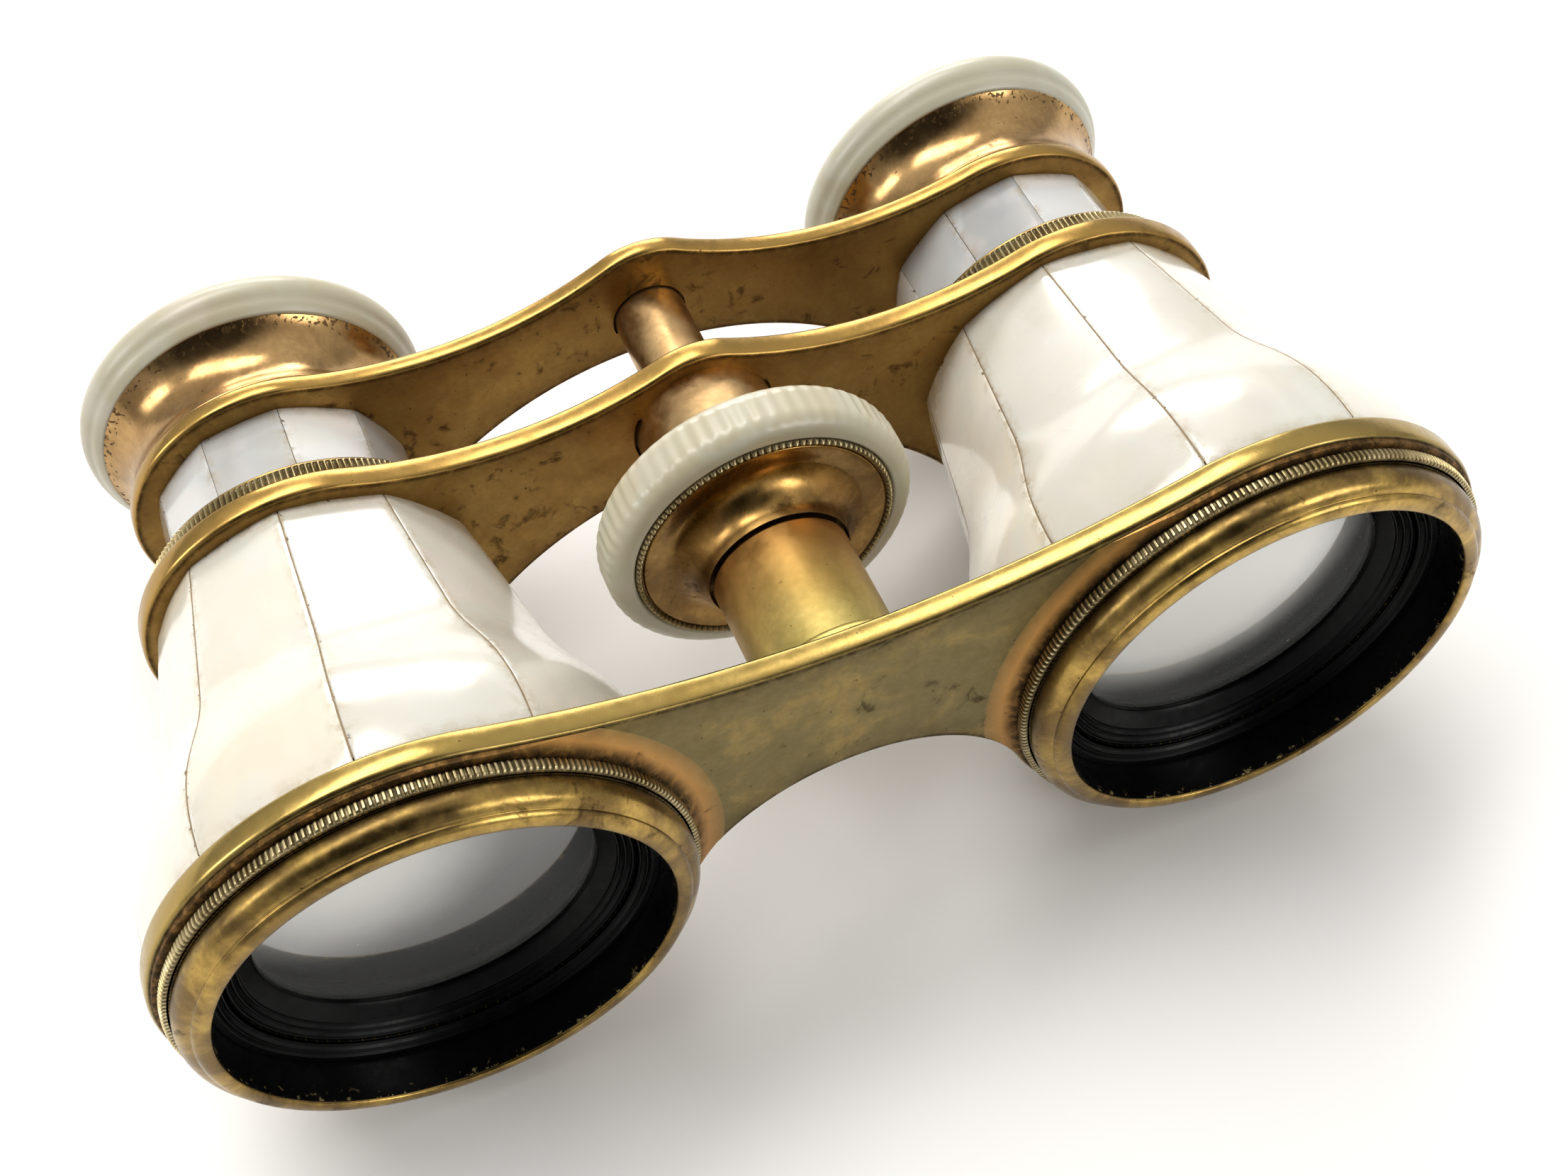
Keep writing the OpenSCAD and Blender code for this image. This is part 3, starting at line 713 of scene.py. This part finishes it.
def objective_cell(side):
    lip_r, spigot = 15.9, 16.4
    f = FRONT_Y
    outline = [
        (lip_r, -2.0, 0), (lip_r, f + 0.34, 0.1), (lip_r + 0.1, f + 0.07, 0.1), (16.35, f, 0.25),
        (16.95, f + 0.1, 0.3), (17.24, f + 0.42, 0.14), (17.2, f + 0.56, 0.06), (17.42, f + 0.66, 0.1),
        *arc((16.86, f + 1.86), 1.32, -62, 38, 14),
        (18.0, -3.42, 0.12), (18.32, -3.42, 0.05), (18.32, -2.5, 0.05), (17.9, -2.46, 0),
        (17.9, -2.4, 0), (spigot, -2.4, 0), (spigot, 2.5), (15.3, 2.5), (15.3, 6.2), (13, 6.2), (13, 5.4),
        (14.3, 5.4), (14.3, -2.0, 0),
    ]
    line = rounded(outline)
    build = Build()
    centre = axis_of(side)
    rim = np.clip(1 - (line[:, 1] - FRONT_Y) / 1.5, 0, 1) * (line[:, 0] < lip_r + 0.02)
    # Painted shade, growing from the bezel's slope back to the knurl and kept behind it.
    foul = np.clip((line[:, 1] + 5.0) / 1.5, 0, 0.85)
    around = 288
    turned(build, centre, line, around, rim=np.repeat(rim, around), foul=np.repeat(foul, around),
           kind=lambda r, y: 1 if r < lip_r + 0.03 and y < 0 else 0)
    top = 18.7
    ring = rounded([(18.0, -3.42, 0), (top - 0.16, -3.42, 0.1), (top, -3.28, 0.1), (top, -2.64, 0.1),
                    (top - 0.16, -2.5, 0.1), (18.0, -2.5, 0)])
    count = 264
    turned(build, centre, ring, count * 6, teeth(count, 0.24, top), 2)
    return build.piece(f"objective_bezel_{side}", [BRONZE, LACQUER, MILLED], "barrels",
                       [f"objective_cell_{side}"])


def objective_retainer(side):
    """Black funnel in front of the lens, with a few coarse thread lines near its front."""
    outer, seat, throat = 15.84, 14.3, 12.1
    line = [(outer, -2.62, 0), (outer, -2.0, 0), (seat, -2.0, 0), (seat, 0.1, 0), (throat, 0.1, 0),
            (throat, -0.2, 0.1)]
    slope = [(12.35, -0.42), (13.2, -1.05)]
    grooves = []
    threads = 5
    for k in range(threads):
        share = 0.36 + k * 0.13     # how far down the funnel's slope the thread line lies
        r, y = throat + 3.3 * share, -0.25 - 2.35 * share
        grooves += [(r - 0.06, y + 0.05, 0.02), (r, y - 0.10, 0.02), (r + 0.1, y - 0.12, 0.02),
                    (r + 0.14, y + 0.02, 0.02)]
    line += [*slope, *grooves, (15.3, -2.62, 0.05)]
    build = Build()
    turned(build, axis_of(side), rounded(line, 0.08))
    return build.piece(f"objective_ring_{side}", [LACQUER], "barrels", [f"objective_retainer_{side}"])


def sphere_line(edge_r, edge_y, curve, way, steps=16):
    """Half a lens surface from its edge to the axis, as (radius, y)."""
    made = []
    for k in range(steps + 1):
        x = edge_r * (1 - k / steps)
        rise = math.sqrt(curve ** 2 - edge_r ** 2) - math.sqrt(curve ** 2 - x * x)
        made.append((x, edge_y + way * rise))
    return made


def objective_lens(side):
    edge_r = 14.15
    front = sphere_line(edge_r, 0.6, 60, 1)
    back = sphere_line(edge_r, 2.0, 48, -1)
    build = Build()
    turned(build, axis_of(side), [*front, *back[::-1]], 144, closed=False)
    return build.piece(f"objective_lens_{side}", [OBJECTIVE[side]], "barrels", [f"objective_crown_{side}"])


def collar(side):
    """Milled collar behind the middle bridge, with a smooth dark lip over its teeth."""
    back, front = COLLAR_BACK, MIDDLE[1]
    bore = 10.06
    ring = rounded([(10.4, front, 0), (12.2, front, 0.05), (12.2, front + 0.3, 0.05), (11.9, front + 0.34, 0),
                    (11.9, back - 0.42, 0), (12.24, back - 0.38, 0.05), (12.18, back - 0.08, 0.15),
                    (11.7, back, 0.1), (bore + 0.3, back, 0.1), (bore, back - 0.2, 0.05),
                    (bore, back - 0.6, 0), (10.4, back - 0.6, 0)])
    build = Build()
    turned(build, axis_of(side), ring)
    top = COLLAR_R
    milled = rounded([(11.6, front + 0.3, 0), (top - 0.1, front + 0.3, 0.08), (top, front + 0.42, 0.08),
                      (top, back - 0.55, 0.08), (top - 0.12, back - 0.40, 0.08), (11.6, back - 0.40, 0)])
    count = 168
    turned(build, axis_of(side), milled, count * 7, teeth(count, 0.34, top, 0.9), 1)
    return build.piece(f"milled_collar_{side}", [BRONZE, MILLED], "barrels", [f"collar_{side}"])


# ---------------------------------------------------------------- eyepieces


def draw_pearl(side):
    front, back = from_datum(low(f"draw_pearl_{side}").y), from_datum(high(f"draw_pearl_{side}").y)
    corner = high(f"draw_pearl_{side}").z
    ys = np.concatenate([[front, front + 0.1], np.linspace(front + 0.4, back - 0.4, 24), [back - 0.05, back]])
    half = TURN / 2 - 0.16
    flat, inner_r = 14.0, 9.2
    a = math.radians(half)
    face_r = math.sqrt((corner + flat * math.cos(a)) ** 2 + (flat * math.sin(a)) ** 2) - flat
    line = np.column_stack([np.full(len(ys), face_r), ys])
    build = Build()
    for k in range(STAVES):
        flat_bar(build, axis_of(side), line, np.full(len(ys), inner_r), DRAW_SEAM[side] + (k + 0.5) * TURN,
                 half, flat, 300 + 50 * SIDES.index(side) + k, 0.012, 0.04)
    return build.piece(f"draw_tube_pearl_{side}", [BRIGHT_SHELL], "eyepieces", [f"draw_pearl_{side}"],
                       LEAF_SHARP)


def eyecup_mount(side):
    foot = REAR[1]
    outline = [
        (9.25, foot, 0), (11.35, foot, 0.05), (11.42, foot + 0.22, 0.15), (11.2, foot + 0.44, 0.08),
        (10.95, foot + 0.5, 0.05),
        *arc((15.5, 42.4), 4.8, 196, 131, 18),
        (12.42, 46.02, 0.1), (12.1, 46.14, 0.06), (7.4, 46.1, 0), (7.4, 48.3, 0.05), (7.0, 48.5, 0.1),
        (6.6, 48.5, 0.05), (6.6, 44.0, 0), (5.6, 44.0, 0), (5.6, 43.2), (8, 43), (9.25, 43, 0),
    ]
    build = Build()
    line = rounded(outline)
    pit = np.clip((line[:, 1] - 44.9) / 0.7, 0, 1)
    around = 192
    turned(build, axis_of(side), line, around, pit=np.repeat(pit, around))
    return build.piece(f"eyecup_trumpet_{side}", [MOUNT], "eyepieces", [f"eyecup_mount_{side}"])


def eyecup(side):
    bore, front = 7.45, 46.12
    roll = (EYECUP_R - EYECUP_ROLL, EYECUP_BACK - EYECUP_ROLL)
    outline = [(bore, front, 0), (12.2, front, 0.05), (12.5, 46.18, 0.1), (12.95, 46.62, 0.3),
               *arc(roll, EYECUP_ROLL, -48, 110, 20), *arc((7.2, EYECUP_BACK + 10), 11.4, 291, 272, 10),
               (bore, 48.6, 0)]
    build = Build()
    turned(build, axis_of(side), rounded(outline), tone=0.4 + 0.3 * SIDES.index(side), edge=0)
    return build.piece(f"eyecup_pearl_{side}", [GREEN_SHELL], "eyepieces", [f"eyecup_{side}"])


def inner_tube():
    back = REAR[0] + 0.3
    front, axis_r, screw_r, screw_end = 23.0, 0.01, 1.6, 33
    outline = [(axis_r, front, 0), (TUBE_R - 0.2, front, 0.1), (TUBE_R, 23.2, 0.1), (TUBE_R, back, 0),
               (screw_r, back, 0), (screw_r, screw_end, 0), (axis_r, screw_end, 0)]
    build = Build()
    turned(build, FOCUS, rounded(outline), 96)
    return build.piece("focus_tube", [COPPER], "eyepieces", ["inner_tube"])


# ---------------------------------------------------------------- focusing


def front_post():
    """The post, with its rounded foot flange behind the front bridge."""
    r = 5.2
    bore = 3.1
    outline = [(bore, 0, 0), (6.45, 0, 0), (6.5, 0.45, 0.15), (6.3, 0.95, 0.25), (5.75, 1.1, 0.1),
               (5.5, 1.1, 0.05), (5.42, 1.3, 0.1), (r, 1.42, 0.1), (r, POST_LEN - 0.12, 0.08),
               (r - 0.14, POST_LEN, 0.05), (bore, POST_LEN, 0)]
    build = Build()
    line = rounded(outline)
    tint = np.clip((line[:, 1] - POST_LEN + 0.85) / 0.12, 0, 1)
    # Painted shade in the corner above the foot flange.
    foul = np.clip((1.6 - line[:, 1]) / 0.3, 0, 0.7) * (line[:, 1] > 1.0)
    around = 128
    turned(build, FOCUS, line, around, tint=np.repeat(tint, around), foul=np.repeat(foul, around))
    return build.piece("front_post_turned", [YELLOW], "barrels", ["front_post"])


def wheel_hub():
    face, back = WHEEL
    nose, web_r, seat = POST_LEN + 0.06, 8.6, 14.6
    outline = [
        (3.8, nose + 0.7, 0), (5.34, nose + 0.7, 0), (5.38, nose + 0.1, 0.05), (5.5, nose + 0.04, 0.05),
        *arc((7.95, POST_LEN + 0.5), 2.45, 176, 96, 14),
        (web_r, 14.16, 0.4), (9.35, 14.1, 0.06), (9.42, 14.28, 0.04), (9.62, 14.28, 0.04),
        (9.62, seat, 0), (web_r, seat, 0), (web_r, back, 0), (3.8, back, 0),
    ]
    build = Build()
    line = rounded(outline)
    # Painted shade at the hub's nose, in the gap against the post.
    foul = np.clip((5.52 - line[:, 0]) / 0.12, 0, 1)
    around = 160
    turned(build, FOCUS, line, around, foul=np.repeat(foul, around))

    number = 118

    def beads(radius, y, angle):
        swell = np.abs(np.sin(angle * number / 2)) ** 0.7
        lift = np.clip((14.35 - y) / 0.5, 0, 1)
        # The third value is painted shade: in the gaps between the beads and deep in the groove behind them.
        return radius, y + 0.34 * lift * (1 - swell), 1 - swell * lift

    ring = rounded([(9.5, 14.4, 0), (9.5, face + 0.3, 0.15), (9.74, face + 0.02, 0.2),
                    (9.98, face + 0.3, 0.15), (10.0, 14.4, 0)])
    turned(build, FOCUS, ring, number * 8, beads, 1)
    return build.piece("focus_wheel_hub", [HUB, MILLED], "wheel", ["wheel_hub"])


def wheel_rim():
    face, back = WHEEL
    scallops, depth = 66, 0.08

    def scalloped(radius, y, angle):
        outer = np.clip((radius - (WHEEL_R - 0.7)) / 0.65, 0, 1)
        notch = 0.5 - 0.5 * np.cos(angle * scallops)
        return radius - depth * outer * notch, y, 0 * notch

    bore, seat, shoulder = 8.62, 14.6, 10.02
    roll_r, roll_at, inset = 1.42, 10.45, 1.75
    outline = [(bore, seat, 0), (shoulder, seat, 0), (shoulder, face + 0.5, 0.05), (10.2, face + 0.32, 0.1),
               *arc((roll_at, face + inset), roll_r, -80, 0, 14),
               *arc((roll_at, back - inset), roll_r, 0, 78, 14), (bore, back - 0.22, 0)]
    build = Build()
    turned(build, FOCUS, rounded(outline), scallops * 8, scalloped, tone=0.15, edge=0)
    return build.piece("focus_wheel_pearl", [GREEN_SHELL], "wheel", ["wheel_rim"])


def wheel_sleeve():
    r, bore = 5.4, 3.1
    back = WHEEL[1]
    outline = [(bore, back, 0), (9.5, back, 0.05), (9.6, back + 0.2, 0.1), (9.5, back + 0.4, 0.1),
               (r + 0.35, back + 0.62, 0.3), (r, back + 1.1, 0.3), (r, SLEEVE_BACK, 0.05),
               (bore, SLEEVE_BACK, 0)]
    build = Build()
    turned(build, FOCUS, rounded(outline), 128)
    return build.piece("focus_sleeve", [COPPER], "wheel", ["wheel_sleeve"])


front_bridge()
middle_bridge()
rear_bridge()
front_post()
wheel_hub()
wheel_rim()
wheel_sleeve()
inner_tube()
for side in SIDES:
    for number in range(1, STAVES + 1):
        staves(side, number)
    seam_cement(side)
    objective_cell(side)
    objective_retainer(side)
    objective_lens(side)
    collar(side)
    draw_pearl(side)
    eyecup_mount(side)
    eyecup(side)

KEPT = {"barrel_tube": GLUE, "draw_tube": BROWN, "objective_flint": OCULAR, "ocular_lens": OCULAR,
        "ocular_retainer": LACQUER, "focus_nut": YELLOW, "focus_screw": COPPER, "bridge_screw": BROWN}
for name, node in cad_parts.items():
    material = KEPT.get(name.removesuffix("_left").removesuffix("_right"))
    if material:
        node.data.materials.clear()
        node.data.materials.append(material)

# ---------------------------------------------------------------- the set


def ground():
    """A pale floor under the two front rims and the two eyecups."""
    front = Vector((0, (DATUM - 1.0) * MM, -FRONT_R * MM))
    back = Vector((0, (DATUM + EYECUP_BACK - EYECUP_ROLL) * MM, -EYECUP_R * MM))
    slope = math.atan2(back.z - front.z, back.y - front.y)
    mesh = bpy.data.meshes.new("floor")
    half, gap = 3.0, 0.00008
    corners = [(-half, -half, 0), (half, -half, 0), (half, half, 0), (-half, half, 0)]
    mesh.from_pydata(corners, [], [(0, 1, 2, 3)])
    floor = bpy.data.objects.new("floor", mesh)
    bpy.context.scene.collection.objects.link(floor)
    floor.location = front - Vector((0, 0, gap))
    floor.rotation_euler = (slope, 0, 0)
    s = Shader("pale_floor")
    colour = s.mix(s.noise(40, 4), (0.90, 0.89, 0.875), (0.92, 0.91, 0.90))
    mesh.materials.append(s.set(Base_Color=colour, Roughness=s.between(s.noise(8), 0.3, 0.7, 0.45, 0.6)))


def area_light(name, place, size, power, colour=(1, 1, 1)):
    """A rectangular light of power watts that faces the glasses."""
    light = bpy.data.lights.new(name, "AREA")
    light.shape = "RECTANGLE"
    light.size, light.size_y = size
    light.energy = power
    light.color = colour
    made = bpy.data.objects.new(name, light)
    made.location = place
    made.rotation_euler = (-Vector(place)).to_track_quat("-Z", "Y").to_euler()
    bpy.context.scene.collection.objects.link(made)


def room():
    """A plain studio: bright overhead and behind, dim towards the horizon and where the
    photographer stands, with large soft lights."""
    world = bpy.data.worlds.new("studio")
    world.use_nodes = True
    tree = world.node_tree
    background = tree.nodes["Background"]

    def node(kind, inputs, **settings):
        made = tree.nodes.new("ShaderNode" + kind)
        for name, value in settings.items():
            setattr(made, name, value)
        for socket, value in inputs.items():
            if isinstance(value, bpy.types.NodeSocket):
                tree.links.new(value, made.inputs[socket])
            else:
                made.inputs[socket].default_value = value
        return made.outputs

    way = tree.nodes.new("ShaderNodeTexCoord").outputs["Generated"]

    def cone(direction, wide, narrow):
        inputs = {0: way, 1: Vector(direction).normalized()}
        near = node("VectorMath", inputs, operation="DOT_PRODUCT")["Value"]
        limits = {"From Min": math.cos(math.radians(wide)), "From Max": math.cos(math.radians(narrow))}
        return node("MapRange", {"Value": near, **limits}, interpolation_type="SMOOTHSTEP")["Result"]

    height = node("SeparateXYZ", {0: way})["Z"]
    rise = {"From Min": 0.0, "From Max": 0.7, "To Min": 0.42, "To Max": 1.0}
    sky = node("MapRange", {"Value": height, **rise})[0]
    photographer = cone((-0.2, -0.62, 0.76), 48, 24)
    dim = node("Math", {0: photographer, 1: -0.96, 2: 1.0}, operation="MULTIPLY_ADD")[0]
    level = node("Math", {0: sky, 1: dim}, operation="MULTIPLY")[0]
    background.inputs["Color"].default_value = (1.0, 0.985, 0.96, 1)
    strength = node("Math", {0: level, 1: 0.85}, operation="MULTIPLY")[0]
    tree.links.new(strength, background.inputs["Strength"])
    bpy.context.scene.world = world
    area_light("overhead", (-0.40, 0.75, 2.0), (2.1, 0.7), 32.0, (1.0, 0.985, 0.955))
    area_light("window_behind", (0.35, 1.9, 0.85), (1.5, 0.6), 22.0, (1.0, 0.99, 0.975))
    area_light("window", (-1.9, 0.2, 0.9), (0.6, 0.8), 9.0)
    area_light("fill", (1.3, -1.6, 0.95), (1.0, 0.8), 13.0, (1.0, 0.985, 0.96))


def camera():
    """The photograph's view: from the front and above, a little to the left, slightly rolled."""
    azimuth, elevation, roll = (math.radians(a) for a in (-20.11, 53.53, -2.92))
    away = Vector((-math.sin(azimuth) * math.cos(elevation), math.cos(azimuth) * math.cos(elevation),
                   -math.sin(elevation)))
    right = Vector((math.cos(azimuth), math.sin(azimuth), 0))
    up = right.cross(away)
    x = right * math.cos(roll) + up * math.sin(roll)
    y = -right * math.sin(roll) + up * math.cos(roll)
    data = bpy.data.cameras.new("camera")
    data.sensor_width, data.lens = 36, 48.63
    data.clip_start = 0.01
    made = bpy.data.objects.new("camera", data)
    matrix = Matrix((x, y, -away)).transposed().to_4x4()
    matrix.translation = Vector((-0.0312, -0.0742 + DATUM * MM, 0.12801))
    made.matrix_world = matrix
    bpy.context.scene.collection.objects.link(made)
    bpy.context.scene.camera = made


ground()
room()
camera()
bpy.context.scene.view_settings.view_transform = "Standard"
